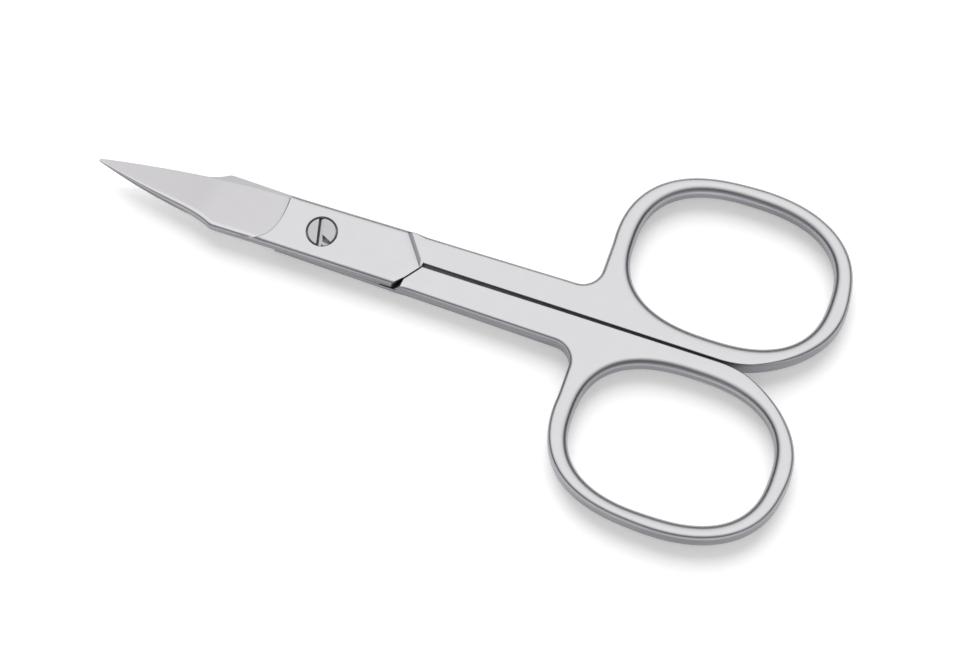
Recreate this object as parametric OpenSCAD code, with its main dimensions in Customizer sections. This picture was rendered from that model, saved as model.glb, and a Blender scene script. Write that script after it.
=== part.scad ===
// Cuticle scissors: two crossed steel halves turning on a slotted pivot screw.
// The pivot axis is the Z axis, the rings lie towards +X and the scissors rest on Z = 0.
// Each half is drawn in its own half frame: its finger ring is at +Y, height is measured
// outwards from the plane where the two halves meet.

/* [Overall] */
// Thickness over the rings and the lap
thickness = 3.0; // [2.4:0.1:4.2]
// Pivot axis to the tip of the blades
tip_reach = 28.2; // [24:0.2:34]

/* [Blades] */
// Pivot axis to the heel, where the spine turns in to the lap
heel_x = 12.9; // [11:0.1:16]
// Height of the heel's corner from the centre line
heel_y = 3.6; // [3.4:0.05:4.6]
// How much further out the rear half's spine lies
spine_step = 0.2; // [0:0.05:0.3]
// Width of the blade's end at the tip
tip_w = 0.3; // [0.2:0.05:0.6]
// How far the cutting edge bulges from a straight line
edge_bulge = 0.75; // [0.3:0.05:1]
// How far the spine is hollowed from a straight line, most of it near the heel
spine_hollow = 0.33; // [0:0.03:0.6]
// Thickness left at the cutting edge
edge_t = 0.12; // [0.08:0.02:0.3]
// Lean of the ground bevel in degrees
bevel_angle = 13.5; // [9:0.5:16]
// Rise of the blades' meeting face at the tip, where the blades curve up
tip_rise = 1.3; // [0.2:0.05:1.35]
// Pivot axis to the ground bevel's shoulder on the cutting side
shoulder_x = 4.9; // [3.6:0.1:8]
// Length of the shoulder's curve along the spine
shoulder_run = 4.1; // [2:0.1:6]

/* [Lap] */
// Centre line to the lap's cutting side at the shoulder
lap_cut_y = 3.3; // [3:0.05:4.2]
// Centre line to the lap's cutting side at the V
lap_wide_y = 3.6; // [3.3:0.05:4.2]
// Centre line to the front lap's side on the spine side
lap_spine_y = 3.5; // [3:0.05:4.2]
// Pivot axis to the point of the V where the lap ends
lap_end = 12.5; // [11:0.1:12.8]
// Centre line to the point of the V, which lies on the free side
v_y = 0.45; // [0.3:0.05:0.6]
// How far back from the point the V's long leg ends
v_back = 3.0; // [1.5:0.1:3.4]
// Gap along the closed part of the V's free leg
v_clear = 0.04; // [0.03:0.01:0.2]
// Width that the gap gains at the open end of the V
v_gap = 0.35; // [0.1:0.05:0.8]
// Gap between the two halves' meeting faces
lap_gap = 0.04; // [0.02:0.01:0.1]

/* [Shanks] */
// Centre line to a shank's outer side at the lap
shank_y = 3.56; // [3.3:0.02:4.4]
// Centre line to a shank's outer side where the ring's fillet starts
shank_end_y = 3.88; // [3.4:0.02:5]
// How far the shank's faces lie below the lap's face
shank_relief = 0.16; // [0.02:0.02:0.3]
// Rounding of the shank's outer edges
shank_round = 0.4; // [0.2:0.05:0.8]
// Rounding of the edges along the parting line
parting_round = 0.14; // [0.08:0.02:0.3]
// Gap between the two shanks beside the lap
gap_at_lap = 0.44; // [0.2:0.02:0.8]
// Gap between the two shanks where the rings part
gap_at_rings = 0.24; // [0.1:0.02:0.6]

/* [Finger rings] */
// Pivot axis to the centre of the finger opening
ring_x = 47.5; // [44:0.1:56]
// Centre line to the centre of the finger opening
ring_y = 11.5; // [10.6:0.1:14]
// Length of the finger opening
opening_l = 24.1; // [20:0.1:27]
// Width of the finger opening
opening_w = 18.0; // [15:0.1:18.6]
// Squareness of the opening, 2 is an ellipse
opening_square = 2.5; // [2:0.05:3]
// Width of the band at the ring's two ends
band_end = 2.4; // [1.8:0.05:3.2]
// Width of the band at the ring's outer side
band_side = 1.95; // [1.6:0.05:3]
// How much lower than the opening the outer curve is centred
outer_drop = 0.6; // [0.3:0.05:1]
// Squareness of the outer curve
outer_square = 2.4; // [2:0.05:3]
// Lean of the outer curve in degrees
outer_lean = 8.3; // [4:0.1:12]
// How much the outer curve narrows towards its far end
outer_taper = 0.1; // [0:0.01:0.14]
// Rounding of the ring's outer edges
ring_round = 0.65; // [0.3:0.05:1]
// Rounding of the finger opening's edges
opening_round = 1.05; // [0.4:0.05:1.2]
// Radius of the fillet between shank and ring
fillet_r = 2.5; // [1.5:0.1:3.5]

/* [Pivot screw] */
// Diameter of the screw's head
head_d = 3.5; // [3:0.1:5]
// Thickness of the screw's head
head_t = 0.7; // [0.5:0.05:0.9]
// Gap between the head's side and its counterbore
head_gap = 0.08; // [0.04:0.02:0.2]
// Diameter of the plain shoulder that the front half turns on
shoulder_d = 2.7; // [2.2:0.1:3]
// Running clearance on radius between shoulder and bore
running_gap = 0.03; // [0.01:0.01:0.08]
// Diameter of the threaded stem in the rear half
stem_d = 2.4; // [1.8:0.1:2.6]
// Diameter of the stem's upset end at the back
upset_d = 3.0; // [2.6:0.1:4]
// Depth of the upset end
upset_t = 0.3; // [0.2:0.05:0.6]
// Width of the screwdriver slot
slot_w = 0.6; // [0.4:0.05:0.9]
// Depth of the screwdriver slot
slot_depth = 0.42; // [0.2:0.02:0.5]
// How far the slot lies off the head's centre
slot_shift = 0.2; // [0:0.05:0.4]
// Direction of the slot in degrees from the X axis
slot_angle = 103; // [0:1:180]

/* [Hidden] */

half_t = thickness / 2;
face_gap = lap_gap / 2;
steel = [0.80, 0.80, 0.82];
steel_dark = [0.72, 0.72, 0.75];
$fn = 64;

// Number of steps along curves
round_steps = 3;
curve_steps = 44;
parting_steps = 6;
corner_steps = 8;
fillet_steps = 6;
web_steps = 5;
edge_steps = 10;
heel_steps = 5;
bend_steps = 5;
// How far a cutter reaches past what it cuts
over = 1;

function mix(a, b, t) = a + (b - a) * t;
function ramp(a, b, v) = let (t = min(1, max(0, (v - a) / (b - a)))) t * t * (3 - 2 * t);
function bow(u) = 4 * u * (1 - u);
function reversed(list) = [for (i = [len(list) - 1:-1:0]) list[i]];
function unit(v) = v / norm(v);
// A point of a superellipse
function super(rx, ry, n, a) = [
    rx * sign(cos(a)) * pow(abs(cos(a)), 2 / n),
    ry * sign(sin(a)) * pow(abs(sin(a)), 2 / n)];

// Blades: plan outline and bend

// The lap is let in to its own shank by this much
seat = 0.95;
// The meeting faces curve up beyond this radius, as a surface of revolution
bend_lead = 0.05;
bend_r = max(heel_x, norm([lap_end + seat, gap_at_lap])) + bend_lead;
bend_end = tip_reach + over;
function rise(r) = tip_rise * pow(max(0, r - bend_r) / (tip_reach - bend_r), 2);

function cut_y(x) = let (u = (x + tip_reach) / (tip_reach - shoulder_x))
    mix(tip_w / 2, lap_cut_y, u) + edge_bulge * bow(u);
// The hollow is deepest at this part of the way from tip to heel
hollow_at = 0.8;
function step_of(side) = side > 0 ? 0 : spine_step;
function hollow(u) = pow(u / hollow_at, 4) * (1 - u) / (1 - hollow_at);
function spine_y(x, side) = let (
        u = (x + tip_reach) / (tip_reach - heel_x),
        step = step_of(side))
    u < 1 ? (spine_hollow + step) * hollow(u) - mix(tip_w / 2, heel_y + step, u)
          : -mix(heel_y, lap_spine_y, ramp(-heel_x, -shoulder_x, x)) - step;

// The V at the lap's end: its point, its leg on the ring's side, which lies over the shank,
// and its free leg, which runs beside the other shank and then bends away from it
v_slant = v_back / (lap_wide_y + v_y);
gap_y = gap_at_lap / 2;
function leg_x(y) = lap_end - v_slant * abs(y + v_y);
v_bend = -mix(v_y, lap_spine_y, 0.58);

module lap_outline(side) {
    cut_side = [for (i = [0:edge_steps])
        let (x = mix(-shoulder_x, -tip_reach, i / edge_steps))
        [x, cut_y(x)]];
    spine_side = [for (i = [0:edge_steps])
        let (x = mix(-tip_reach, -heel_x, i / edge_steps))
        [x, spine_y(x, side)]];
    heel_side = [for (i = [1:heel_steps])
        let (x = mix(-heel_x, -shoulder_x, i / heel_steps))
        [x, spine_y(x, side)]];
    free_y = -lap_spine_y - step_of(side);
    polygon(concat(
        [[lap_end, -v_y], [leg_x(gap_y) + seat, gap_y], [leg_x(lap_wide_y) + seat, lap_wide_y]],
        cut_side, spine_side, heel_side,
        [[leg_x(free_y) - v_gap, free_y], [leg_x(v_bend), v_bend]]));
}

// What lies inwards of the meeting face, with the bend of the blades
module behind_meeting_face(side) {
    profile = [for (i = [0:bend_steps])
        let (r = mix(bend_r, bend_end, i / bend_steps))
        [r, side * rise(r) + face_gap]];
    rotate_extrude()
        polygon(concat(
            [[0, -thickness], [bend_end, -thickness]],
            reversed(profile),
            [[0, face_gap]]));
}

// What lies above the ground bevel: from the spine's outer edge down to the cutting edge
bevel_start = 0.02;
function bevel_h(x, y, side) = let (
        inner = side * rise(-x),
        a = spine_y(x, side), b = cut_y(x),
        low = inner + face_gap + edge_t,
        top = min(inner + half_t - rise(-x) - bevel_start, low + tan(bevel_angle) * (b - a)))
    mix(top, low, (y - a) / (b - a));

module above_bevel(side) {
    x0 = -tip_reach - over / 2;
    x1 = -shoulder_x + over;
    ceiling = half_t + over;
    steps = 2 * edge_steps;
    last = 4 * steps;
    rows = [for (i = [0:steps])
        let (x = mix(x0, x1, i / steps),
            xs = max(x, -tip_reach),
            a = spine_y(xs, side) - over,
            b = cut_y(xs) + over)
        [[x, a, bevel_h(xs, a, side)], [x, b, bevel_h(xs, b, side)], [x, b, ceiling], [x, a, ceiling]]];
    sides = [for (i = [0:steps - 1], k = [0:3])
        let (p = 4 * i + k, q = 4 * i + (k + 1) % 4)
        each [[p, p + 4, q], [q, p + 4, q + 4]]];
    ends = [[0, 1, 2], [0, 2, 3], [last, last + 2, last + 1], [last, last + 3, last + 2]];
    polyhedron([for (row = rows) each row], concat(sides, ends));
}

// The bevel's shoulder: a curved run-out from the spine across to the cutting side, which
// ends in a short straight part
shoulder_end = 0.5;
shoulder_square = 2.6;
module beyond_shoulder() {
    start = [-shoulder_x - shoulder_run, lap_cut_y - shoulder_end];
    drop = start[1] + lap_spine_y;
    arc = [for (i = [0:edge_steps])
        start + super(shoulder_run, drop, shoulder_square, 90 * i / edge_steps - 90)];
    polygon(concat(
        arc,
        [[-shoulder_x, lap_cut_y + over],
        [-bend_end - over, lap_cut_y + over],
        [-bend_end - over, -heel_y - 2 * over],
        [start[0], -heel_y - 2 * over]]));
}

module lap_and_blade(side) {
    difference() {
        translate([0, 0, -half_t]) linear_extrude(thickness) lap_outline(side);
        behind_meeting_face(side);
        intersection() {
            above_bevel(side);
            translate([0, 0, -thickness]) linear_extrude(2 * thickness) beyond_shoulder();
        }
    }
}

// Shank and ring: outer outline, finger opening and rounded skin

// The parting face starts just past the V's point and ends just past the ring's middle
part_start = lap_end + v_clear + v_slant * (v_y - gap_y);
part_end = ring_x + 5;
function part_y(x) = mix(gap_at_lap, gap_at_rings, (x - part_start) / (part_end - part_start)) / 2;

// The roundings on the band's two sides take up no more than these parts of the band
outer_part = 0.34;
inner_part = 0.54;
band = min(band_end, band_side);
ring_edge = min(ring_round, outer_part * band);
opening_edge = min(opening_round, inner_part * band);

outer_rx = opening_l / 2 + band_end;
outer_ry = opening_w / 2 + band_side + outer_drop;
function outer_at(a) = let (
        p = super(outer_rx, outer_ry, outer_square, a),
        q = [p[0], p[1] * (1 - outer_taper * p[0] / outer_rx)])
    [ring_x, ring_y - outer_drop]
    + q[0] * [cos(outer_lean), sin(outer_lean)]
    + q[1] * [-sin(outer_lean), cos(outer_lean)];
function opening_at(a) = [ring_x, ring_y] + super(opening_l / 2, opening_w / 2, opening_square, a);

// Angle where the outer curve leaves the parting face, found by halving
function meet(lo, hi, n) = let (m = (lo + hi) / 2, p = outer_at(m))
    n == 0 ? m : p[1] < part_y(p[0]) ? meet(m, hi, n - 1) : meet(lo, m, n - 1);
halvings = 16;
corner_a = meet(-95, 0, halvings);
left_a = 180 - outer_lean / 2;
left_x = outer_at(left_a)[0];
fillet_c = [left_x - fillet_r, shank_end_y + fillet_r];
fillet_end = [left_x, fillet_c[1]];
// The face's tiles change from ring to shank along a seam from the parting face to the opening
seam_x = left_x + 4.5;
seam_a = 232;
// The opening's next point past the fillet
web_a = left_a + 16;

// Outer chain: along the parting face, round the ring and down to the fillet
ring_side = concat(
    [for (i = [0:parting_steps - 1])
        let (x = mix(seam_x, outer_at(corner_a)[0], i / parting_steps))
        [x, part_y(x)]],
    [for (i = [0:curve_steps]) outer_at(mix(corner_a, left_a, i / curve_steps))],
    [fillet_end]);
opening_side = concat(
    [for (i = [0:parting_steps - 1]) opening_at(mix(seam_a - 360, corner_a, i / parting_steps))],
    [for (i = [0:curve_steps]) opening_at(mix(corner_a, left_a, i / curve_steps))],
    [for (i = [0:web_steps]) opening_at(mix(web_a, seam_a, i / (web_steps + 1)))]);
ring_n = len(ring_side);
open_n = len(opening_side);

// Shank chain from the fillet's end to the V, and the parting face below it
shank_start = [part_start - v_slant * (shank_y - gap_y), shank_y];
shank_top = concat(
    [for (i = [1:fillet_steps])
        let (a = -90 * i / fillet_steps)
        fillet_c + fillet_r * [cos(a), sin(a)]],
    [for (i = [1:fillet_steps]) mix([fillet_c[0], shank_end_y], shank_start, i / fillet_steps)]);
shank_n = len(shank_top);
shank_low = [for (i = [1:shank_n])
    let (x = mix(seam_x, part_start, i / shank_n))
    [x, part_y(x)]];
outline = concat(ring_side, shank_top, reversed(shank_low));
outline_n = len(outline);

// Edge rounding and face height along the outline. The rounding grows from shank to ring
// over this stretch, as parts of the distance to the ring's near end, and so does the height.
round_from = 0.85;
round_to = 1.09;
relief_from = 0.45;
relief_to = 0.95;
function on_parting(i) = i < parting_steps || i >= outline_n - shank_n;
function edge_round(i) = let (
        body = mix(shank_round, ring_edge, ramp(round_from, round_to, outline[i][0] / left_x)))
    on_parting(i) ? parting_round
    : mix(parting_round, body, min(1, (i - parting_steps) / corner_steps));
function face_h(x) = half_t - shank_relief * (1 - ramp(relief_from, relief_to, x / left_x));

// Inward direction at a point of a closed outline, mitred at corners
function left_of(a, b) = let (d = unit(b - a)) [-d[1], d[0]];
mitre_limit = 0.4;
function inward(list, i) = let (
        n = len(list),
        a = left_of(list[(i + n - 1) % n], list[i]),
        b = left_of(list[i], list[(i + 1) % n]))
    (a + b) / max(mitre_limit, 1 + a * b);

// Points of the skin round one outline, level by level from the lower face to the upper one
levels = 2 * (round_steps + 1);
function skin(list, way, round_at) = [for (s = [-1, 1], k = [0:round_steps])
    let (j = s < 0 ? round_steps - k : k, a = 90 * j / round_steps)
    for (i = [0:len(list) - 1])
        let (r = round_at(i), p = list[i] + way * r * (1 - cos(a)) * inward(list, i))
        [p[0], p[1], s * (face_h(p[0]) - r + r * sin(a))]];

function wall(n, base, flip) = [for (l = [0:levels - 2], i = [0:n - 1], h = [0, 1])
    let (a = base + l * n + i,
        b = base + l * n + (i + 1) % n,
        t = h == 0 ? [a, a + n, b] : [b, a + n, b + n])
    flip ? reversed(t) : t];

// Triangles of one face: a band round the opening, a fan at the web and a strip along the shank
function strip(p, q) = [for (i = [0:len(p) - 2])
    each [[p[i], q[i], p[i + 1]], [p[i + 1], q[i], q[i + 1]]]];
function face_tiles(o, c) = let (
        top = o + ring_n - 1,
        mid = ring_n + floor(web_steps / 2))
    concat(
        strip([for (i = [0:ring_n - 1]) o + i], [for (i = [0:ring_n - 1]) c + i]),
        [for (i = [ring_n - 1:mid - 1]) [top, c + i, c + i + 1]],
        [[top, c + mid, o]],
        [for (i = [mid:open_n - 1]) [o, c + i, c + (i + 1) % open_n]],
        strip([for (i = [0:shank_n]) top + i], [for (i = [0:shank_n]) i == 0 ? o : o + outline_n - i]));

module shank_and_ring() {
    inner_round = function(i) opening_edge;
    outer_round = function(i) edge_round(i);
    points = concat(skin(outline, 1, outer_round), skin(opening_side, -1, inner_round));
    base = levels * outline_n;
    lower = face_tiles(0, base);
    upper = face_tiles((levels - 1) * outline_n, base + (levels - 1) * open_n);
    polyhedron(points, concat(
        wall(outline_n, 0, false), wall(open_n, base, true),
        [for (t = lower) reversed(t)], upper));
}

// Places a half frame: the front half as drawn, the rear half turned over about the X axis
module placed(side) {
    translate([0, 0, half_t]) rotate([side > 0 ? 0 : 180, 0, 0]) children();
}

bore_r = shoulder_d / 2 + running_gap;
counterbore_r = head_d / 2 + head_gap;

module front_half() {
    color(steel) placed(1) {
        difference() {
            union() {
                lap_and_blade(1);
                shank_and_ring();
            }
            translate([0, 0, -over]) cylinder(r = bore_r, h = thickness);
            translate([0, 0, half_t - head_t - face_gap]) cylinder(r = counterbore_r, h = thickness);
        }
    }
}

module rear_half() {
    color(steel) placed(-1) {
        difference() {
            union() {
                lap_and_blade(-1);
                shank_and_ring();
            }
            translate([0, 0, -over]) cylinder(d = stem_d, h = thickness);
            translate([0, 0, half_t - upset_t]) cylinder(d = upset_d, h = thickness);
        }
    }
}

module pivot_screw() {
    color(steel_dark) difference() {
        union() {
            translate([0, 0, thickness - head_t]) cylinder(d = head_d, h = head_t);
            translate([0, 0, half_t - face_gap])
                cylinder(d = shoulder_d, h = half_t + face_gap - head_t / 2);
            cylinder(d = stem_d, h = half_t);
            cylinder(d = upset_d, h = upset_t);
        }
        translate([0, 0, thickness - slot_depth + over / 2]) rotate([0, 0, slot_angle])
            translate([0, slot_shift, 0]) cube([head_d + over, slot_w, over], center = true);
    }
}

front_half();
rear_half();
pivot_screw();
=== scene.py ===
"""Cuticle scissors: two satin steel halves turning on a slotted pivot screw, on a white table.

Every length in the code below is in millimetres until a finished mesh is scaled to metres.
A half is built in its own half frame: its ring at +Y, heights outwards from the mid-plane.
"""

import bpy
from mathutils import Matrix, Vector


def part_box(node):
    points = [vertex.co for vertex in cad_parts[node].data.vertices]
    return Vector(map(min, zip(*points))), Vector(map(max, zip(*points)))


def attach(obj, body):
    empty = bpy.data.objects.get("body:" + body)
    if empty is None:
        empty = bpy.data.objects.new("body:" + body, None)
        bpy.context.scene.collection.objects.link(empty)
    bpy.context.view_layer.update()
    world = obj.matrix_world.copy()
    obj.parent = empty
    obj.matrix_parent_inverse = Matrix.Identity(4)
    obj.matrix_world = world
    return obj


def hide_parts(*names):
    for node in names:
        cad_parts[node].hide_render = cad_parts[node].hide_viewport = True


bl_info = {
    "name": "Cuticle Scissors",
    "version": (1, 0, 0),
    "blender": (4, 5, 0),
    "location": "3D View > Sidebar > Scissors",
    "description": "Builds small steel scissors round their packed solids, with a stage",
    "category": "Object",
}

import math
from types import SimpleNamespace

import bmesh
import bpy
from bpy.props import FloatProperty, FloatVectorProperty, PointerProperty
from mathutils import Matrix, Vector

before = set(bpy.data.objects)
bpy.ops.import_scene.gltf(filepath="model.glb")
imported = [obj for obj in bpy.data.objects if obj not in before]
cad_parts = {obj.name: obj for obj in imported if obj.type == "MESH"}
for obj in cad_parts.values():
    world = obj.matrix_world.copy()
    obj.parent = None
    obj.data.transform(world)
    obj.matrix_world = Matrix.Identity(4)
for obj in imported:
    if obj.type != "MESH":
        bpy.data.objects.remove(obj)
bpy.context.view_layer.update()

MM = 0.001
THICKNESS = (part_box("pivot_screw")[1].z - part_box("pivot_screw")[0].z) / MM
TIP_REACH = -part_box("front_half")[0].x / MM

# Steps in the rounding of an edge, and round a turned surface
ROUND_STEPS = 6
TURN_STEPS = 96
# Points of a ring's curve before its stations are set, and the stations' spacing in mm
CURVE_STEPS = 900
STATION = 0.45
# The parting face ends this far past the middle of the rings, in mm
PARTING_END = 5
# Points closer than this many mm are merged
MERGE = 0.0005
# Slots of a half's finishes. The last three are darker as painted shade: between the halves, on
# the sides and slope, and a near-black painted shadow in the V's gap
SATIN, BEVEL, MEETING_SHADE, SIDE_SHADE, SCALE = range(5)
# Smallest angle between two faces that shows as an edge
SHARP = math.radians(28)


def linear(hex_value):
    """sRGB hex colour as linear red, green, blue and alpha."""
    parts = [int(hex_value[i:i + 2], 16) / 255 for i in (1, 3, 5)]
    return [c / 12.92 if c <= 0.04045 else ((c + 0.055) / 1.055) ** 2.4 for c in parts] + [1.0]


def length(name, mm, about):
    return FloatProperty(
        name=name, description=about, default=mm * MM, min=0.0, precision=5, unit="LENGTH"
    )


def share(name, value, about, top=1.0):
    return FloatProperty(name=name, description=about, default=value, min=0.0, max=top)


def turn(name, degrees, about):
    return FloatProperty(
        name=name, description=about, default=math.radians(degrees), unit="ROTATION"
    )


def colour(name, hex_value, about):
    return FloatVectorProperty(
        name=name, description=about, default=linear(hex_value), size=4, subtype="COLOR",
        min=0.0, max=1.0,
    )


class ScissorSizes(bpy.types.PropertyGroup):
    """Sizes of the two halves and the screw."""

    thickness: length("Thickness", THICKNESS, "Over the rings and the lap")
    tip_reach: length("Tip reach", TIP_REACH, "Pivot axis to the tip")
    heel_x: length("Heel distance", 12.9, "Pivot axis to the heel of a blade")
    heel_y: length("Heel height", 3.6, "Centre line to the heel's corner")
    heel_step: length("Rear spine step", 0.2, "How much further out the rear half's spine lies")
    tip_w: length("Tip width", 0.3, "Width of a blade's end")
    edge_bulge: length("Edge bulge", 0.75, "Bulge of the cutting edge from a straight line")
    spine_hollow: length("Spine hollow", 0.33, "Hollow of the spine from a straight line")
    edge_t: length("Edge thickness", 0.12, "Steel left at the cutting edge")
    bevel_angle: turn("Bevel angle", 13.5, "Lean of the ground bevel")
    tip_rise: length("Tip rise", 1.3, "How far the meeting face curves up at the tip")
    shoulder_x: length("Shoulder", 4.9, "Pivot axis to the bevel's shoulder, cutting side")
    shoulder_run: length("Shoulder run", 4.1, "Length of the shoulder's curve along the spine")
    wheel_r: length("Wheel radius", 0.5, "Radius that the grinding wheel leaves in the shoulder")
    lap_cut_y: length("Lap at shoulder", 3.3, "Centre line to the cutting side, at the shoulder")
    lap_wide_y: length("Lap at V", 3.6, "Centre line to the cutting side, at the V")
    lap_spine_y: length("Lap, spine side", 3.5, "Centre line to the lap's spine side")
    lap_end: length("Lap end", 12.5, "Pivot axis to the point of the V")
    v_y: length("V offset", 0.45, "Centre line to the V's point, which lies on the free side")
    v_back: length("V depth", 3.0, "How far back the V's legs end")
    v_gap: length("V gap", 0.35, "Wedge gap at the V's open end")
    v_clear: length("V clearance", 0.04, "Gap along the closed part of the V's free leg")
    v_slope: length("V slope", 1.1, "Length of the hollow slope from lap to shank")
    lap_gap: length("Lap gap", 0.04, "Gap between the two meeting faces")
    lap_round: length("Lap edges", 0.6, "Rounding of the lap's outer edges")
    shank_y: length("Shank side", 3.56, "Centre line to the shank's outer side at the lap")
    shank_end_y: length("Shank side at fillet", 3.88, "The same where the fillet starts")
    shank_relief: length("Shank relief", 0.16, "How far the shank lies below the lap's face")
    shank_round: length("Shank edges", 0.5, "Rounding of the shank's outer edges")
    parting_round: length("Parting edges", 0.14, "Rounding of edges on the parting line")
    gap_at_lap: length("Gap at lap", 0.44, "Gap between the shanks beside the lap")
    gap_at_rings: length("Gap at rings", 0.24, "Gap between the shanks where the rings part")
    ring_x: length("Ring distance", 47.5, "Pivot axis to the middle of a finger opening")
    ring_y: length("Ring offset", 11.5, "Centre line to the middle of a finger opening")
    opening_l: length("Opening length", 24.1, "Length of a finger opening")
    opening_w: length("Opening width", 18.0, "Width of a finger opening")
    opening_square: share("Opening squareness", 2.5, "2 is an ellipse", 4.0)
    band_end: length("Band at ends", 2.39, "Width of the band at the ring's ends")
    band_side: length("Band at side", 1.945, "Width of the band at the ring's outer side")
    outer_drop: length("Outer drop", 0.6, "How much lower the outer curve is centred")
    outer_square: share("Outer squareness", 2.4, "2 is an ellipse", 4.0)
    outer_lean: turn("Outer lean", 8.3, "Lean of the ring's outer curve")
    outer_taper: share("Outer taper", 0.1, "Narrowing of the outer curve to its far end")
    ring_round: length("Ring edges", 0.65, "Rounding of the ring's outer edges")
    opening_round: length("Opening edges", 1.05, "Rounding of the finger opening's edges")
    fillet_r: length("Fillet", 2.5, "Radius between shank and ring")
    head_d: length("Head diameter", 3.5, "Diameter of the screw's head")
    head_t: length("Head thickness", 0.7, "Thickness of the screw's head")
    head_gap: length("Head gap", 0.08, "Gap between the head and its counterbore")
    head_edge: length("Head edge", 0.1, "Chamfer round the head and its counterbore")
    shoulder_d: length("Shoulder diameter", 2.7, "Plain part that the front half turns on")
    running_gap: length("Running gap", 0.03, "Clearance between shoulder and bore")
    stem_d: length("Stem diameter", 2.4, "Part of the screw in the rear half")
    upset_d: length("Upset end", 3.0, "Diameter of the upset end at the back")
    upset_t: length("Upset depth", 0.3, "Depth of the upset end")
    slot_w: length("Slot width", 0.6, "Width of the screwdriver slot")
    slot_depth: length("Slot depth", 0.42, "Depth of the screwdriver slot")
    slot_shift: length("Slot shift", 0.2, "How far the slot lies off the head's centre")
    slot_angle: turn("Slot direction", 103, "Direction of the slot from the X axis")


class ScissorFinish(bpy.types.PropertyGroup):
    """Colours and textures of the steel."""

    face: colour("Ground face", "#E2E2E4", "Flat faces of lap, shank and rings")
    # Darker than the faces as painted shade, for the dark room and shadowed table that the sides
    # mirror
    wall: colour("Side wall", "#A6A4AA", "Tumbled side walls")
    bevel: colour("Ground bevel", "#E8E6E9", "Bevel of the blades")
    # Darker than the faces as painted shade between the two halves
    meeting: colour("Meeting face", "#C8C8CA", "Faces where the halves slide on each other")
    # Nearly black as painted shadow in the V's gap
    scale: colour("Forging scale", "#2C2B2D", "Unground corner under the V's gap")
    screw: colour("Screw", "#C9C9CC", "Turned screw")
    face_rough: share("Face roughness", 0.36, "Roughness of a half's ground faces")
    screw_rough: share("Screw roughness", 0.3, "Roughness of the screw's head")
    wall_rough: share("Side roughness", 0.3, "Roughness of the side walls")
    grit: length("Grit line", 0.16, "Width of a line that the belt leaves on the faces")
    cloud: length("Cloud size", 2.4, "Size of the soft patches on the faces")


class ScissorStage(bpy.types.PropertyGroup):
    """Floor, light and camera."""

    table: colour("Table", "#F4F4F4", "Colour of the table")
    light: share("Window light", 3.0, "Strength of the light from behind", 20.0)
    light_width: turn("Window width", 60, "Angle that the window takes up, seen from the table")
    light_tilt: turn("Window tilt", 53, "How far the window lies off the zenith")
    sky: share("Ceiling light", 0.25, "What the room's mirror image gains up to the zenith", 20.0)
    fill: share("Room light", 0.62, "Light that the whole room sends to the table", 20.0)
    glow: share("Table glow", 0.26, "Light that keeps the table's shadows pale", 20.0)


def in_mm(group):
    """The group's values, with its lengths in millimetres."""
    found = SimpleNamespace()
    for prop in group.bl_rna.properties:
        if prop.type == "FLOAT":
            value = getattr(group, prop.identifier)
            value = value / MM if prop.unit == "LENGTH" else value
            setattr(found, prop.identifier, value)
    return found


def mix(a, b, t):
    return a + (b - a) * t


def ease(t):
    t = min(1.0, max(0.0, t))
    return t * t * (3 - 2 * t)


def superellipse(rx, ry, power, angle):
    c, s = math.cos(angle), math.sin(angle)
    return Vector((
        math.copysign(rx * abs(c) ** (2 / power), c),
        math.copysign(ry * abs(s) ** (2 / power), s),
    ))


def evenly(points, spacing):
    """Points at an even spacing along a chain of points, its two ends kept."""
    run = [0.0]
    for a, b in zip(points, points[1:]):
        run.append(run[-1] + (b - a).length)
    steps = max(1, round(run[-1] / spacing))
    found, k = [], 0
    for i in range(steps + 1):
        want = run[-1] * i / steps
        while k < len(run) - 2 and run[k + 1] < want:
            k += 1
        found.append(points[k].lerp(points[k + 1], (want - run[k]) / (run[k + 1] - run[k])))
    return found


def softened(points, corner, reach, steps=12):
    """A chain with one of its corners rounded over a reach to each side."""
    before = [p for p in points[:corner] if (p - points[corner]).length >= reach]
    after = [p for p in points[corner + 1:] if (p - points[corner]).length >= reach]
    bend = [
        before[-1].lerp(points[corner], t).lerp(points[corner].lerp(after[0], t), t)
        for t in (i / steps for i in range(1, steps))
    ]
    return before + bend + after


def new_verts(made):
    """The vertices of what an extrusion has made."""
    return [item for item in made["geom"] if isinstance(item, bmesh.types.BMVert)]


# Bar: shank and ring


def part_y(s, x):
    """The parting face, which leaves a gap to the other half that narrows to the rings."""
    end = s.ring_x + PARTING_END
    return mix(s.gap_at_lap, s.gap_at_rings, (x - s.lap_end) / (end - s.lap_end)) / 2


def v_slant(s):
    """How far back the V's legs go for each millimetre across."""
    return s.v_back / (s.lap_wide_y + s.v_y)


def ring_outer(s, angle):
    """A point of the ring's outer curve, which tapers and leans."""
    rx = s.opening_l / 2 + s.band_end
    p = superellipse(rx, s.opening_w / 2 + s.band_side + s.outer_drop, s.outer_square, angle)
    p.y *= 1 - s.outer_taper * p.x / rx
    p.rotate(Matrix.Rotation(s.outer_lean, 2))
    return p + Vector((s.ring_x, s.ring_y - s.outer_drop))


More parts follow.
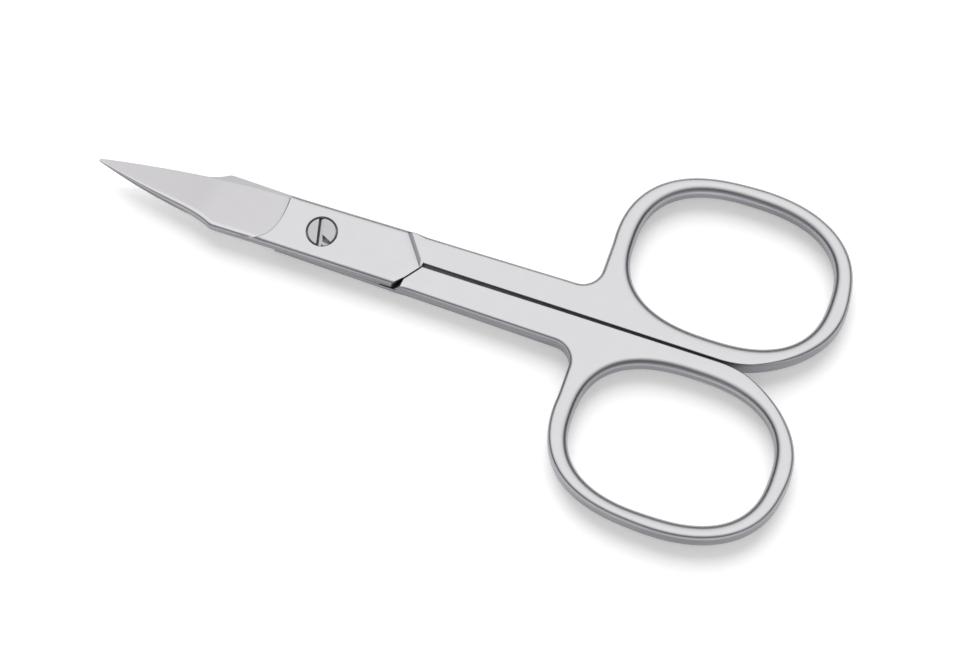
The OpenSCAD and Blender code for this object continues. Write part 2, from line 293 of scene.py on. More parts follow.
def bar_outline(s):
    """The bar's outer outline and the rounding of its edges, anticlockwise from the V."""
    halvings, fillet_steps = 40, 40
    # Where ring and parting face meet, the corner is softened over this reach to each side
    corner_reach = 2.0
    # Edges round as the shank's do until this share of the way to the ring, then as the ring's
    round_from, round_over = 0.85, 0.24
    # Lengths over which the rounding grows: from the V on, and round the ring from the corner
    v_flat, v_run, corner_run = 0.2, 1.8, 11
    # Points this close to the parting face or the V lie on it
    near = 0.02

    # The ring's outer curve meets the parting face between these angles
    low, high = math.radians(-95), 0.0
    for _ in range(halvings):
        half = (low + high) / 2
        p = ring_outer(s, half)
        low, high = (half, high) if p.y < part_y(s, p.x) else (low, half)
    corner = ring_outer(s, low)
    last = math.pi - s.outer_lean / 2
    ring_left = ring_outer(s, last).x
    centre = Vector((ring_left - s.fillet_r, s.shank_end_y + s.fillet_r))
    start_x = s.lap_end + s.v_clear + v_slant(s) * (s.v_y - s.gap_at_lap / 2)
    start = Vector((start_x, part_y(s, start_x)))
    end = Vector((start.x - v_slant(s) * (s.shank_y - start.y), s.shank_y))

    parting = evenly([start, corner], STATION)
    ring = [ring_outer(s, mix(low, last, i / CURVE_STEPS)) for i in range(CURVE_STEPS + 1)]
    fillet = [
        centre + s.fillet_r * Vector((math.cos(a), math.sin(a)))
        for a in (-math.pi / 2 * i / fillet_steps for i in range(fillet_steps + 1))
    ]
    chain = softened(parting + ring[1:], len(parting) - 1, corner_reach)
    chain = evenly(chain + fillet + [end], STATION)
    chain += evenly([end, start], STATION)[1:-1]

    past_corner, radii = 0.0, []
    for i, p in enumerate(chain):
        body = mix(s.shank_round, s.ring_round, ease((p.x / ring_left - round_from) / round_over))
        body = mix(s.parting_round, body, ease((p.x - end.x - v_flat) / v_run))
        if p.x > corner.x or p.x > corner.x - 1 and p.y > s.shank_end_y:
            past_corner += (p - chain[i - 1]).length
        on_parting = p.y < part_y(s, p.x) + near and p.x < corner.x
        on_v = p.x < start.x and p.y < s.shank_y - near / 2
        if on_parting or on_v:
            body = s.parting_round
        elif past_corner < corner_run and p.y < s.ring_y:
            body = mix(s.parting_round, body, ease(past_corner / corner_run))
        radii.append(body)
    return chain, radii, ring_left


def inward(points, i):
    """Mitred inward direction at a point of a closed anticlockwise outline."""
    sharpest = 0.4  # keeps the mitre of a sharp corner short
    before, here, after = points[i - 1], points[i], points[(i + 1) % len(points)]
    ways = ((here - before).normalized(), (after - here).normalized())
    a, b = (Vector((-way.y, way.x)) for way in ways)
    return (a + b) / max(sharpest, 1 + a.dot(b))


def rounded_wall(bm, points, radii, way, height):
    """Extrudes a closed outline upwards with rounded lower and upper edges.

    Returns the edges of its lowest and its highest loop."""
    station = bm.verts.layers.int["station"]
    normals = [inward(points, i) * way for i in range(len(points))]

    def place(i, side, step):
        angle = math.pi / 2 * step / ROUND_STEPS
        p = points[i] + normals[i] * radii[i] * (1 - math.cos(angle))
        top = height(p.x)
        return Vector((p.x, p.y, side * (top - radii[i] + radii[i] * math.sin(angle))))

    steps = range(ROUND_STEPS + 1)
    levels = [(-1, step) for step in reversed(steps)] + [(1, step) for step in steps]
    verts = []
    for i in range(len(points)):
        vert = bm.verts.new(place(i, *levels[0]))
        vert[station] = i
        verts.append(vert)
    lowest = [bm.edges.new(pair) for pair in zip(verts, verts[1:] + verts[:1])]
    edges = lowest
    for level in levels[1:]:
        made = bmesh.ops.extrude_edge_only(bm, edges=edges)
        fresh = set(new_verts(made))
        for vert in fresh:
            vert.co = place(vert[station], *level)
        edges = [
            item for item in made["geom"]
            if isinstance(item, bmesh.types.BMEdge) and fresh.issuperset(item.verts)
        ]
    return lowest, edges


def bar_mesh(s):
    """Shank and ring: walls round the outline and the finger opening, closed by two faces."""
    bm = bmesh.new()
    bm.verts.layers.int.new("station")
    half = s.thickness / 2
    chain, radii, ring_left = bar_outline(s)
    # The shank's face rises to the ring's over this part of the way
    rise_from, rise_over = 0.45, 0.5

    def height(x):
        return half - s.shank_relief * (1 - ease((x / ring_left - rise_from) / rise_over))

    middle = Vector((s.ring_x, s.ring_y))
    opening = [
        middle + superellipse(s.opening_l / 2, s.opening_w / 2, s.opening_square, angle)
        for angle in (math.tau * i / CURVE_STEPS for i in range(CURVE_STEPS + 1))
    ]
    opening = evenly(opening, STATION)[:-1]
    outer = rounded_wall(bm, chain, radii, 1, height)
    inner = rounded_wall(bm, opening, [s.opening_round] * len(opening), -1, height)
    for outer_edges, inner_edges in zip(outer, inner):
        bmesh.ops.triangle_fill(bm, edges=outer_edges + inner_edges, use_beauty=True)
    bmesh.ops.recalc_face_normals(bm, faces=bm.faces)
    return bm


def corner_cutter(s):
    """Bevels the bar's outer corner beside the other half's lap, where the V's gap opens."""
    half = s.thickness / 2
    # How far out the bevel starts on the meeting face, and how much it leans back from there
    start_y, lean, depth = 2.1, 0.2, 2
    leg = s.lap_end + s.v_clear + v_slant(s) * s.v_y
    a = Vector((leg - v_slant(s) * start_y, start_y, -half))
    b = Vector((a.x - lean, s.shank_y, -half))
    c = Vector((leg - v_slant(s) * s.shank_y, s.shank_y, 0))
    out = (b - a).cross(c - a).normalized()
    out = out if out.x < 0 else -out
    bm = bmesh.new()
    # The triangle a, b, c is drawn out well past the bar at a and b, and hardly at c
    base = [
        bm.verts.new(p + (p - q) * from_q + (p - r) * from_r)
        for p, q, r, from_q, from_r in ((a, b, c, 6, 6), (b, a, c, 8, 4), (c, b, a, 0.02, 0.02))
    ]
    made = bmesh.ops.extrude_face_region(bm, geom=[bm.faces.new(base)])
    bmesh.ops.translate(bm, verts=new_verts(made), vec=out * depth)
    # Its faces take the sides' darker colour, painted shade in the V's gap
    for face in bm.faces:
        face.material_index = SIDE_SHADE
    bmesh.ops.recalc_face_normals(bm, faces=bm.faces)
    return bm


# Plate: lap and blade


def rise(s, radius):
    """How far the meeting face has curved up at a radius from the pivot."""
    # It stays flat for the heel and for as far as the lap lies on the other half
    seat, lead = 0.85, 0.1
    start = max(s.heel_x, s.lap_end + seat) + lead
    return s.tip_rise * (max(0.0, radius - start) / (s.tip_reach - start)) ** 2


def cut_y(s, x):
    """The cutting side: a bulging edge from the tip, then the lap's straight side."""
    u = (x + s.tip_reach) / (s.tip_reach - s.shoulder_x)
    if u < 1:
        return mix(s.tip_w / 2, s.lap_cut_y, u) + s.edge_bulge * 4 * u * (1 - u)
    lap_side = s.lap_end - s.v_back + s.shoulder_x
    return mix(s.lap_cut_y, s.lap_wide_y, (x + s.shoulder_x) / lap_side)


def spine_y(s, x, side):
    """The spine: a hollow curve from tip to heel, then an easy run to the lap's side."""
    # Its hollow is deepest at this part of the way from tip to heel
    hollow_at = 0.8
    u = (x + s.tip_reach) / (s.tip_reach - s.heel_x)
    step = 0 if side > 0 else s.heel_step
    if u < 1:
        hollow = (u / hollow_at) ** 4 * (1 - u) / (1 - hollow_at)
        return (s.spine_hollow + step) * hollow - mix(s.tip_w / 2, s.heel_y + step, u)
    return -mix(s.heel_y, s.lap_spine_y, ease((x + s.heel_x) / (s.heel_x - s.shoulder_x))) - step


def shoulder_x_at(s, y):
    """The edge where the ground bevel runs out into the lap's face."""
    # The curve ends in a short straight part, and is as square as its power says
    straight, power = 0.5, 2.6
    start = s.lap_cut_y - straight
    t = min(1.0, max(0.0, (start - y) / (start + s.lap_spine_y)))
    return -s.shoulder_x - s.shoulder_run * (1 - (1 - t ** power) ** (1 / power))


def v_x_at(s, y):
    """The end of the lap, a V. The outer part of its free leg bends away from the other shank."""
    free_leg, closed_share = s.lap_spine_y - s.v_y, 0.58
    closed = free_leg * closed_share
    away = s.v_gap * max(0.0, -y - s.v_y - closed) / (free_leg - closed)
    return s.lap_end - v_slant(s) * abs(y + s.v_y) - away


def plate_mesh(s, side):
    """Lap and blade: a grid that follows the outline, the shoulder and the V, given thickness."""
    half, gap = s.thickness / 2, s.lap_gap / 2
    shoulder_steps = 160
    shoulder = [
        Vector((shoulder_x_at(s, y), y)) for y in (
            mix(-s.lap_spine_y, s.lap_cut_y, (i / shoulder_steps) ** 2)
            for i in range(shoulder_steps + 1)
        )
    ]
    # The bevel starts this far below the outer face
    bevel_start = 0.02
    # The wheel's fillet in the shoulder shrinks to this share of its radius at the spine
    spine_wheel = 0.2
    # Rounding of the spine, as a share of the blade's width, and of the cutting edge in mm
    spine_share, edge_round = 0.12, 0.004
    # The lap's rounding on the cutting side starts this far before the shoulder
    round_lead, round_run = 0.6, 0.8
    # Rows lie closer towards the tip and towards the shoulder, as these powers say
    tip_pace, wheel_pace = 0.9, 1.5
    # The last row of the lap lies this far from its end
    end_row = 0.1
    # The slope is cut short near the parting face, and its foot sinks into the shank
    slope_share, foot = 0.97, 0.012
    # Rounding of the lap's end along the V's free leg
    leg_round = 0.08
    # Rows of the slope that take the sides' darker colour as painted shade, and where the painted
    # shadow of the V's gap starts
    side_shade_rows, gap_shadow_y = 4, 1.8

    def bevel_h(x, y):
        """Height of the ground bevel, which falls from the spine to the cutting edge."""
        inner = side * rise(s, -x)
        low = inner + gap + s.edge_t
        a, b = spine_y(s, x, side), cut_y(s, x)
        full = low + math.tan(s.bevel_angle) * (b - a)
        top = min(inner + half - rise(s, -x) - bevel_start, full)
        return mix(top, low, (y - a) / (b - a))

    def top_h(x, y):
        """Height of the outer face: the lap, the bevel, or the wheel's fillet between them."""
        if x >= shoulder_x_at(s, y) - 1e-6:
            return half
        ground = bevel_h(x, y)
        p = Vector((x, y))
        away = min((p - q).length for q in shoulder)
        across = (y + s.lap_spine_y) / (s.lap_spine_y + s.lap_cut_y)
        wheel = s.wheel_r * mix(spine_wheel, 1.0, across)
        low = min(half - ground, wheel)
        run = math.sqrt(2 * wheel * low - low * low)
        if away >= run:
            return ground
        return ground + wheel - math.sqrt(wheel ** 2 - (run - away) ** 2)

    # Columns run from spine to cutting side: a rounding, two inner parts, and a rounding
    inner_columns = 16
    columns = [("spine", k) for k in range(ROUND_STEPS + 1)]
    columns += [("lower", k / inner_columns) for k in range(1, inner_columns + 1)]
    columns += [("upper", k / inner_columns) for k in range(1, inner_columns)]
    columns += [("cut", k) for k in range(ROUND_STEPS, -1, -1)]

    def place(x, column):
        """A column's y where it passes x, and how far its point drops from the outer face."""
        kind, k = column
        a, b = spine_y(s, x, side), cut_y(s, x)
        ra = min(s.lap_round, spine_share * (b - a))
        rb = mix(edge_round, s.lap_round, ease((x + s.shoulder_x + round_lead) / round_run))
        if kind in ("spine", "cut"):
            r = ra if kind == "spine" else rb
            angle = math.pi / 2 * k / ROUND_STEPS
            inset, drop = r * (1 - math.cos(angle)), r * (1 - math.sin(angle))
            return (a + inset if kind == "spine" else b - inset), drop
        if kind == "lower":
            return mix(a + ra, 0.0, k), 0.0
        return mix(0.0, b - rb, k), 0.0

    # Rows run from tip to shoulder, over the lap, round its end and down the V's slope. Those
    # for the wheel's fillet lie within a reach of the shoulder
    blade_rows, wheel_rows, lap_rows, end_rows = 46, 22, 14, 8
    wheel_reach = 2.0
    halvings = 30

    def crossing(column, line, low, high):
        """Where a column meets the shoulder or the V."""
        for _ in range(halvings):
            x = (low + high) / 2
            low, high = (x, high) if x < line(s, place(x, column)[0]) else (low, x)
        return low

    stations = []
    before = -s.shoulder_x - s.shoulder_run - round_lead
    for column in columns:
        meets = crossing(column, shoulder_x_at, before, 0.0)
        ends = crossing(column, v_x_at, 0.0, s.lap_end)
        near = meets - wheel_reach
        xs = [mix(-s.tip_reach, near, (i / blade_rows) ** tip_pace) for i in range(blade_rows)]
        xs += [
            mix(near, meets, 1 - (1 - i / wheel_rows) ** wheel_pace) for i in range(wheel_rows)
        ]
        xs += [mix(meets, ends - end_row, i / lap_rows) for i in range(lap_rows)]
        stations.append((xs, ends))

    row_count = blade_rows + wheel_rows + lap_rows
    bm = bmesh.new()
    rows = bm.verts.layers.int.new("row")
    rows_in_all, columns_in_all = row_count + end_rows, len(columns)
    bmesh.ops.create_grid(bm, x_segments=rows_in_all - 1, y_segments=columns_in_all - 1, size=1)
    if len(bm.verts) != rows_in_all * columns_in_all:
        raise RuntimeError("the grid has another number of points than expected")
    upper = set(new_verts(bmesh.ops.extrude_face_region(bm, geom=bm.faces[:])))
    for vert in bm.verts:
        row = round((vert.co.x + 1) / 2 * (rows_in_all - 1))
        j = round((vert.co.y + 1) / 2 * (columns_in_all - 1))
        vert[rows] = row
        xs, ends = stations[j]
        beyond = place(ends, columns[j])[0] + s.v_y
        if row < row_count:
            x, fall = xs[row], 0.0
        else:
            k = (row - row_count) / (end_rows - 1)
            if beyond > 0:
                run = min(s.v_slope, end_row + slope_share * beyond) * k
                x = ends - end_row + run
                fall = (s.shank_relief + foot) * (1 - (1 - run / s.v_slope) ** 3)
            else:
                x = ends - leg_round * (1 - math.sin(math.pi / 2 * k))
                fall = leg_round * (1 - math.cos(math.pi / 2 * k))
        y, drop = place(x, columns[j])
        if vert in upper:
            vert.co = (x, y, top_h(x, y) - max(drop, fall))
        else:
            vert.co = (x, y, gap + side * rise(s, math.hypot(x, y)))
    for face in bm.faces:
        row = min(v[rows] for v in face.verts)
        y = face.calc_center_median().y
        above = sum(v in upper for v in face.verts)
        if above == 4 and row < blade_rows + wheel_rows:
            face.material_index = BEVEL
        # The slope's first rows take the sides' darker colour, painted shade
        elif above == 4 and row_count <= row < row_count + side_shade_rows and y > -s.v_y:
            face.material_index = SIDE_SHADE
        # Faces below take the meeting face's darker colour, painted shade between the halves, and
        # near black in the V's gap, painted shadow
        elif above == 0:
            in_gap_shadow = row >= row_count - 1 and y > gap_shadow_y
            face.material_index = SCALE if in_gap_shadow else MEETING_SHADE
    bmesh.ops.recalc_face_normals(bm, faces=bm.faces)
    return bm


# Solids, finishing and materials


def as_object(bm, name, materials):
    """Turns a bmesh, which is used up, into an object of the scene."""
    mesh = bpy.data.meshes.new(name)
    bm.to_mesh(mesh)
    bm.free()
    for material in materials:
        mesh.materials.append(material)
    made = bpy.data.objects.new(name, mesh)
    bpy.context.scene.collection.objects.link(made)
    return made


def disc(materials, radius, low, high, top_radius=None):
    """A round cutter on the pivot axis, from one height to another."""
    bm = bmesh.new()
    bmesh.ops.create_cone(
        bm, cap_ends=True, cap_tris=False, segments=TURN_STEPS, radius1=radius,
        radius2=radius if top_radius is None else top_radius, depth=high - low,
    )
    bmesh.ops.translate(bm, verts=bm.verts, vec=(0, 0, (low + high) / 2))
    return as_object(bm, "cutter", materials)


def combine(base, other, operation):
    """Joins or cuts base with another solid, which is used up."""
    modifier = base.modifiers.new("combine", "BOOLEAN")
    modifier.operation, modifier.solver, modifier.object = operation, "EXACT", other
    graph = bpy.context.evaluated_depsgraph_get()
    mesh = bpy.data.meshes.new_from_object(base.evaluated_get(graph))
    base.modifiers.clear()
    base.data = mesh
    bpy.data.objects.remove(other)


def finish_piece(made, node, body, place):
    """Scales a solid to metres in its place, smooths it and lets it stand for its CAD node."""
    bm = bmesh.new()
    bm.from_mesh(made.data)
    bmesh.ops.remove_doubles(bm, verts=bm.verts, dist=MERGE)
    bmesh.ops.dissolve_degenerate(bm, edges=bm.edges, dist=MERGE)
    bmesh.ops.transform(bm, matrix=Matrix.Scale(MM, 4) @ place, verts=bm.verts)
    for face in bm.faces:
        face.smooth = True
    for edge in bm.edges:
        edge.smooth = len(edge.link_faces) == 2 and edge.calc_face_angle() < SHARP
    bm.to_mesh(made.data)
    bm.free()
    weighted = made.modifiers.new("flat faces stay flat", "WEIGHTED_NORMAL")
    weighted.keep_sharp = True
    weighted.weight = 80
    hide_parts(node)
    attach(made, body)


def add(tree, kind, sockets=(), **settings):
    """Adds a node to a tree, with its settings, and its sockets' values or links."""
    made = tree.nodes.new(kind)
    for key, value in settings.items():
        setattr(made, key, value)
    for key, value in dict(sockets).items():
        if isinstance(value, bpy.types.NodeSocket):
            tree.links.new(value, made.inputs[key])
        else:
            made.inputs[key].default_value = value
    return made


def steel(name, face, face_rough, finish):
    """Stainless steel, ground to a satin on what faces up or down and tumbled on its sides, whose
    colour is painted darker as shade.

    The ground faces look pale and soft, with faint clouds and fine lines along the scissors.
    The sides are painted darker as shade, and look smoother, with streaks that run along them."""
    made = bpy.data.materials.new(name)
    made.use_nodes = True
    tree = made.node_tree
    tree.nodes.clear()
    where = add(tree, "ShaderNodeTexCoord")
    mm = add(
        tree, "ShaderNodeVectorMath", {0: where.outputs["Object"], 1: (1 / MM,) * 3},
        operation="MULTIPLY",
    )
    # What faces up or down is ground and takes the face's colour, the sides take a darker one as
    # painted shade, and a rounding passes from face to side
    up = add(tree, "ShaderNodeSeparateXYZ", {0: where.outputs["Normal"]})
    up = add(tree, "ShaderNodeMath", {0: up.outputs["Z"]}, operation="ABSOLUTE")
    flat = add(
        tree, "ShaderNodeMapRange",
        {"Value": up.outputs[0], "From Min": 0.7, "From Max": 0.99},
        interpolation_type="SMOOTHSTEP",
    )
    # The belt's lines are 25 times as long as they are wide, and run along the scissors.
    # Real ones are finer than a pixel, so they are drawn as coarse as they need to show
    lines = add(tree, "ShaderNodeMapping", {0: mm.outputs[0], "Scale": (0.04, 1.0, 1.0)})
    lines = add(
        tree, "ShaderNodeTexNoise",
        {"Vector": lines.outputs[0], "Scale": 1 / finish.grit, "Detail": 3.0, "Roughness": 0.6},
    )
    # The belt's pressure leaves soft clouds
    clouds = add(
        tree, "ShaderNodeTexNoise",
        {"Vector": mm.outputs[0], "Scale": 1 / finish.cloud, "Detail": 3.0, "Roughness": 0.55},
    )
    # Tumbling leaves the sides' long streaks from the trimming, about 0.6 mm high
    streaks = add(tree, "ShaderNodeMapping", {0: mm.outputs[0], "Scale": (0.05, 0.05, 1.0)})
    streaks = add(
        tree, "ShaderNodeTexNoise",
        {"Vector": streaks.outputs[0], "Scale": 1.7, "Detail": 3.0, "Roughness": 0.5},
    )
    grain = add(
        tree, "ShaderNodeMix", {0: 0.35, 2: clouds.outputs["Fac"], 3: lines.outputs["Fac"]},
        data_type="FLOAT",
    )
    # Both tones stay close to the colour, and the sides' varies more
    face_tone = add(
        tree, "ShaderNodeMapRange",
        {
            "Value": grain.outputs[0], "From Min": 0.25, "From Max": 0.75,
            "To Min": 0.955, "To Max": 1.03,
        },
    )
    wall_tone = add(
        tree, "ShaderNodeMapRange",
        {
            "Value": streaks.outputs["Fac"], "From Min": 0.25, "From Max": 0.75,
            "To Min": 0.72, "To Max": 1.2,
        },
    )
    face_colour = add(
        tree, "ShaderNodeVectorMath", {0: list(face)[:3], "Scale": face_tone.outputs[0]},
        operation="SCALE",
    )
    # The sides' colour, darker than the faces' as painted shade, varied by the streaks
    shaded_wall_colour = add(
        tree, "ShaderNodeVectorMath", {0: list(finish.wall)[:3], "Scale": wall_tone.outputs[0]},
        operation="SCALE",
    )
    # Faces take the ground colour, sides the painted shade
    face_or_shaded_side = add(
        tree, "ShaderNodeMix",
        {0: flat.outputs[0], 6: shaded_wall_colour.outputs[0], 7: face_colour.outputs[0]},
        data_type="RGBA",
    )
    spread = add(
        tree, "ShaderNodeMapRange",
        {
            "Value": grain.outputs[0], "From Min": 0.3, "From Max": 0.7,
            "To Min": face_rough - 0.03, "To Max": face_rough + 0.03,
        },
    )
    rough = add(
        tree, "ShaderNodeMix", {0: flat.outputs[0], 2: finish.wall_rough, 3: spread.outputs[0]},
        data_type="FLOAT",
    )
    # Lines and streaks are a few thousandths of a millimetre deep
    relief = add(
        tree, "ShaderNodeMix",
        {0: flat.outputs[0], 2: streaks.outputs["Fac"], 3: lines.outputs["Fac"]},
        data_type="FLOAT",
    )
    bump = add(
        tree, "ShaderNodeBump",
        {"Strength": 0.35, "Distance": 0.004 * MM, "Height": relief.outputs[0]},
    )
    shader = add(
        tree, "ShaderNodeBsdfPrincipled",
        {
            "Base Color": face_or_shaded_side.outputs[2], "Metallic": 1.0, "Roughness": rough.outputs[0],
            "Normal": bump.outputs[0],
        },
    )
    add(tree, "ShaderNodeOutputMaterial", {"Surface": shader.outputs[0]})
    return made


def half_steels(finish):
    """The finishes of a half, three of them painted shade, in the order of the slots from the
    satin to the shadow in the V's gap.
    """
    tones = {
        # Pale and soft, with faint lines along the scissors
        "satin_ground_stainless_steel": finish.face,
        # As soft, with a faint violet tinge
        "bevel_ground_stainless_steel": finish.bevel,
        # Darker, as painted shade between the two halves
        "fine_ground_meeting_steel": finish.meeting,
        # As dark as the sides, painted shade on the slope from lap to shank and on the corner in
        # the V's gap
        "tumbled_stainless_steel": finish.wall,
        # Nearly black, painted shadow in the V's gap
        "forging_scale_steel": finish.scale,
    }
    return [
        bpy.data.materials.get(name) or steel(name, tone, finish.face_rough, finish)
        for name, tone in tones.items()
    ]


def build_half(context, side):
    """Builds one half from its bar and its plate, bores it and puts it in place."""
    s, finish = in_mm(context.scene.scissor_sizes), in_mm(context.scene.scissor_finish)
    half = s.thickness / 2
    name = "front_half_steel" if side > 0 else "rear_half_steel"
    steels = half_steels(finish)
    made = as_object(bar_mesh(s), name, steels)
    combine(made, as_object(corner_cutter(s), "corner cutter", steels), "DIFFERENCE")
    combine(made, as_object(plate_mesh(s, side), "plate", steels), "UNION")
    # Cutters reach past the meeting face and the outer face, and a chamfer's only just
    below, above, just_above = -1, half + 1, half + 0.001
    if side > 0:
        bore = s.head_d / 2 + s.head_gap
        cutters = [
            disc(steels, s.shoulder_d / 2 + s.running_gap, below, above),
            disc(steels, bore, half - s.head_t - s.lap_gap / 2, above),
            disc(steels, bore, half - s.head_edge, just_above, bore + s.head_edge),
        ]
    else:
        cutters = [
            disc(steels, s.stem_d / 2, below, above),
            disc(steels, s.upset_d / 2, half - s.upset_t, above),
        ]
    for cutter in cutters:
        combine(made, cutter, "DIFFERENCE")
    place = Matrix.Translation((0, 0, half))
    if side < 0:
        place = place @ Matrix.Rotation(math.pi, 4, "X")
    node, body = ("front_half", "front") if side > 0 else ("rear_half", "rear")
    finish_piece(made, node, body, place)


def screw_mesh(s):
    """The screw's profile, spun round the pivot axis."""
    top, half = s.thickness, s.thickness / 2
    # The upset end is slightly domed at its rim
    dome_t, dome_w = 0.04, 0.1
    profile = [
        (0, top), (s.head_d / 2 - s.head_edge, top), (s.head_d / 2, top - s.head_edge),
        (s.head_d / 2, top - s.head_t), (s.shoulder_d / 2, top - s.head_t),
        (s.shoulder_d / 2, half), (s.stem_d / 2, half), (s.stem_d / 2, s.upset_t),
        (s.upset_d / 2, s.upset_t), (s.upset_d / 2, dome_t), (s.upset_d / 2 - dome_w, 0), (0, 0),
    ]
    bm = bmesh.new()
    verts = [bm.verts.new((r, 0, z)) for r, z in profile]
    edges = [bm.edges.new(pair) for pair in zip(verts, verts[1:])]
    bmesh.ops.spin(
        bm, geom=verts + edges, cent=(0, 0, 0), axis=(0, 0, 1), angle=math.tau, steps=TURN_STEPS,
        use_merge=True,
    )
    bmesh.ops.remove_doubles(bm, verts=bm.verts, dist=MERGE)
    bmesh.ops.recalc_face_normals(bm, faces=bm.faces)
    return bm


def slot_cutter(s):
    """The slot, with one side cut sloping and the other upright."""
    bm = bmesh.new()
    w, reach = s.slot_w / 2, s.head_d / 2 + 0.5
    # Top of the cutter, foot of its sloping side, and how much the floor rises to the other
    over, foot, floor_rise = 0.01, 0.02, 0.06
    profile = [
        (w + over, over), (foot, -s.slot_depth), (-w, -s.slot_depth + floor_rise), (-w, over),
    ]
    end = bm.faces.new([bm.verts.new((-reach, y, z)) for y, z in profile])
    made = bmesh.ops.extrude_face_region(bm, geom=[end])
    bmesh.ops.translate(bm, verts=new_verts(made), vec=(2 * reach, 0, 0))
    bmesh.ops.translate(bm, verts=bm.verts, vec=(0, s.slot_shift, s.thickness))
    direction = Matrix.Rotation(s.slot_angle, 3, "Z")
    bmesh.ops.rotate(bm, verts=bm.verts, cent=(0, 0, 0), matrix=direction)
    bmesh.ops.recalc_face_normals(bm, faces=bm.faces)
    return bm


def dent_cutter(s):
    """The three-cornered dent of a staking punch beside the slot, deepest next to the axis."""
    bm = bmesh.new()
    over = 0.05
    # Corner on the rim, corner on the floor, and depth there. The last is inside the others
    corners = [
        ((0.18, -0.28), (0.2, -0.62), 0.3), ((1.6, -0.95), (1.38, -1.2), 0.34),
        ((0.75, -1.9), (0.75, -1.86), 0.16), ((0.5, -1.2), (0.52, -1.2), 0.02),
    ]
    upper = [bm.verts.new((*rim, s.thickness + over)) for rim, _, _ in corners]
    lower = [bm.verts.new((*floor, s.thickness - depth)) for _, floor, depth in corners]
    bm.faces.new(upper)
    bm.faces.new((lower[0], lower[1], lower[3]))
    bm.faces.new((lower[1], lower[2], lower[3]))
    for i in range(len(corners)):
        k = (i + 1) % len(corners)
        bm.faces.new((upper[i], upper[k], lower[k], lower[i]))
    bmesh.ops.recalc_face_normals(bm, faces=bm.faces)
    return bm


class SCISSORS_OT_front_half(bpy.types.Operator):
    """Builds the upper half with its blade, lap, shank and ring"""

    bl_idname = "scissors.front_half"
    bl_label = "Front half"

    def execute(self, context):
        build_half(context, 1)
        return {"FINISHED"}


class SCISSORS_OT_rear_half(bpy.types.Operator):
    """Builds the lower half, the same forging turned over"""

    bl_idname = "scissors.rear_half"
    bl_label = "Rear half"

    def execute(self, context):
        build_half(context, -1)
        return {"FINISHED"}


class SCISSORS_OT_pivot_screw(bpy.types.Operator):
    """Builds the slotted pivot screw"""

    bl_idname = "scissors.pivot_screw"
    bl_label = "Pivot screw"

    def execute(self, context):
        s, finish = in_mm(context.scene.scissor_sizes), in_mm(context.scene.scissor_finish)
        # A little darker and smoother than the lap round it
        turned = [steel("turned_screw_steel", finish.screw, finish.screw_rough, finish)]
        made = as_object(screw_mesh(s), "pivot_screw_steel", turned)
        combine(made, as_object(slot_cutter(s), "slot cutter", turned), "DIFFERENCE")
        combine(made, as_object(dent_cutter(s), "dent cutter", turned), "DIFFERENCE")
        finish_piece(made, "pivot_screw", "rear", Matrix.Identity(4))
        return {"FINISHED"}


class SCISSORS_OT_stage(bpy.types.Operator):
    """Adds the white table, the soft light and the camera"""

    bl_idname = "scissors.stage"
    bl_label = "Stage"

    def execute(self, context):
        settings = context.scene.scissor_stage
        # The table reaches 3 m to each side and lies just clear of the scissors
        reach, below = 3, 0.05 * MM
        bm = bmesh.new()
        bmesh.ops.create_grid(bm, x_segments=1, y_segments=1, size=reach)
        bmesh.ops.translate(bm, verts=bm.verts, vec=(0, 0, -below))
        table = as_object(bm, "table", [table_material(settings)])
        light_stage(context, settings)

        # Place, turn and lens were fitted to the photograph's outlines
        camera = bpy.data.objects.new("camera", bpy.data.cameras.new("camera"))
        context.scene.collection.objects.link(camera)
        camera.location = (0.081600, -0.176044, 0.500985)
        camera.rotation_euler = (math.radians(20), 0, math.radians(19.1423))
        camera.data.lens = 167.01
        camera.data.sensor_width = 36
        camera.data.clip_end = 20
        context.scene.camera = camera
        return {"FINISHED"}


def table_material(settings):
    """White table board, matt, with a glow for camera and gloss that keeps it white all over."""
    made = bpy.data.materials.new("white_table_board")
    made.use_nodes = True
    tree = made.node_tree
    tree.nodes.clear()
    board = add(tree, "ShaderNodeBsdfDiffuse", {"Color": settings.table})
    path = add(tree, "ShaderNodeLightPath")
    seen = add(
        tree, "ShaderNodeMath",
        {0: path.outputs["Is Camera Ray"], 1: path.outputs["Is Glossy Ray"]},
        operation="MAXIMUM",
    )
    seen = add(
        tree, "ShaderNodeMath", {0: seen.outputs[0], 1: path.outputs["Is Transmission Ray"]},
        operation="MAXIMUM",
    )
    level = add(
        tree, "ShaderNodeMath", {0: seen.outputs[0], 1: settings.glow}, operation="MULTIPLY"
    )
    glow = add(tree, "ShaderNodeEmission", {"Strength": level.outputs[0]})
    both = add(tree, "ShaderNodeAddShader", {0: board.outputs[0], 1: glow.outputs[0]})
    add(tree, "ShaderNodeOutputMaterial", {"Surface": both.outputs[0]})
    return made


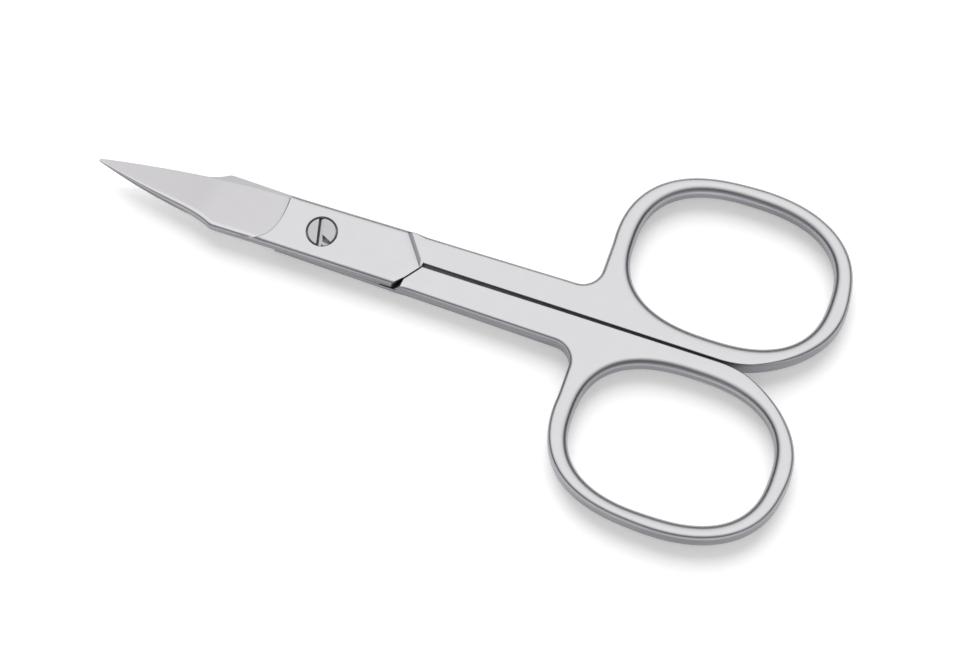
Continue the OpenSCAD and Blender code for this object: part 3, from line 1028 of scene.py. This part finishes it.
def light_stage(context, settings):
    """The window's light, and the room that the steel mirrors.

    The room is bright overhead and dark low down, but for a paler strip by the floor in front.
    The camera sees it white, and the table takes an even light from it."""
    world = bpy.data.worlds.new("room")
    context.scene.world = world
    world.use_nodes = True
    # What kind of ray meets the room decides how bright it is, so it isn't sampled as a lamp
    world.cycles.sampling_method = "NONE"
    tree = world.node_tree
    tree.nodes.clear()
    where = add(tree, "ShaderNodeTexCoord")
    up = add(tree, "ShaderNodeSeparateXYZ", {0: where.outputs["Generated"]})
    wall = add(
        tree, "ShaderNodeMapRange",
        {
            "Value": up.outputs["Z"], "From Min": 0.34, "From Max": 0.63,
            "To Min": 0.12, "To Max": 1.06,
        },
        interpolation_type="SMOOTHSTEP",
    )
    ceiling = add(
        tree, "ShaderNodeMapRange",
        {"Value": up.outputs["Z"], "From Min": 0.6, "From Max": 1.0, "To Max": settings.sky},
    )
    room = add(tree, "ShaderNodeMath", {0: wall.outputs[0], 1: ceiling.outputs[0]})
    # How far a direction points away from where the photograph was taken
    behind = add(
        tree, "ShaderNodeVectorMath", {0: where.outputs["Generated"], 1: (-0.33, 0.945, 0.0)},
        operation="DOT_PRODUCT",
    )
    behind = add(
        tree, "ShaderNodeMapRange",
        {"Value": behind.outputs["Value"], "From Min": -0.9, "From Max": -0.25},
        interpolation_type="SMOOTHSTEP",
    )
    front = add(
        tree, "ShaderNodeMapRange",
        {
            "Value": up.outputs["Z"], "From Min": 0.25, "From Max": 0.48,
            "To Min": 0.7, "To Max": 0.15,
        },
        interpolation_type="SMOOTHSTEP",
    )
    mirrored = add(
        tree, "ShaderNodeMix",
        {0: behind.outputs[0], 2: front.outputs[0], 3: room.outputs[0]},
        data_type="FLOAT",
    )
    path = add(tree, "ShaderNodeLightPath")
    level = add(
        tree, "ShaderNodeMix",
        {0: path.outputs["Is Diffuse Ray"], 2: mirrored.outputs[0], 3: settings.fill},
        data_type="FLOAT",
    )
    level = add(
        tree, "ShaderNodeMix", {0: path.outputs["Is Camera Ray"], 2: level.outputs[0], 3: 1.0},
        data_type="FLOAT",
    )
    sky = add(tree, "ShaderNodeBackground", {"Strength": level.outputs[0]})
    add(tree, "ShaderNodeOutputWorld", {"Surface": sky.outputs[0]})

    window = bpy.data.objects.new("window", bpy.data.lights.new("window", "SUN"))
    context.scene.collection.objects.link(window)
    window.data.energy = settings.light
    window.data.angle = settings.light_width
    window.rotation_euler = (-settings.light_tilt, 0, math.radians(19))  # opposite the camera
    window.visible_glossy = False  # the steel mirrors the room in its place


class SCISSORS_PT_build(bpy.types.Panel):
    """Lists the steps that build the scissors"""

    bl_idname = "SCISSORS_PT_build"
    bl_label = "Cuticle Scissors"
    bl_space_type = "VIEW_3D"
    bl_region_type = "UI"
    bl_category = "Scissors"

    def draw(self, context):
        for step in STEPS:
            self.layout.operator(step.bl_idname)
        for group in ("scissor_sizes", "scissor_finish", "scissor_stage"):
            box = self.layout.box()
            settings = getattr(context.scene, group)
            for key in type(settings).__annotations__:
                box.prop(settings, key)


GROUPS = (ScissorSizes, ScissorFinish, ScissorStage)
STEPS = (
    SCISSORS_OT_front_half, SCISSORS_OT_rear_half, SCISSORS_OT_pivot_screw, SCISSORS_OT_stage,
)


def register():
    for item in (*GROUPS, *STEPS, SCISSORS_PT_build):
        bpy.utils.register_class(item)
    bpy.types.Scene.scissor_sizes = PointerProperty(type=ScissorSizes)
    bpy.types.Scene.scissor_finish = PointerProperty(type=ScissorFinish)
    bpy.types.Scene.scissor_stage = PointerProperty(type=ScissorStage)


def unregister():
    del bpy.types.Scene.scissor_sizes
    del bpy.types.Scene.scissor_finish
    del bpy.types.Scene.scissor_stage
    for item in reversed((*GROUPS, *STEPS, SCISSORS_PT_build)):
        bpy.utils.unregister_class(item)


def main():
    register()
    bpy.context.scene.view_settings.view_transform = "Standard"
    bpy.ops.scissors.front_half()
    bpy.ops.scissors.rear_half()
    bpy.ops.scissors.pivot_screw()
    bpy.ops.scissors.stage()


if __name__ == "__main__":
    main()
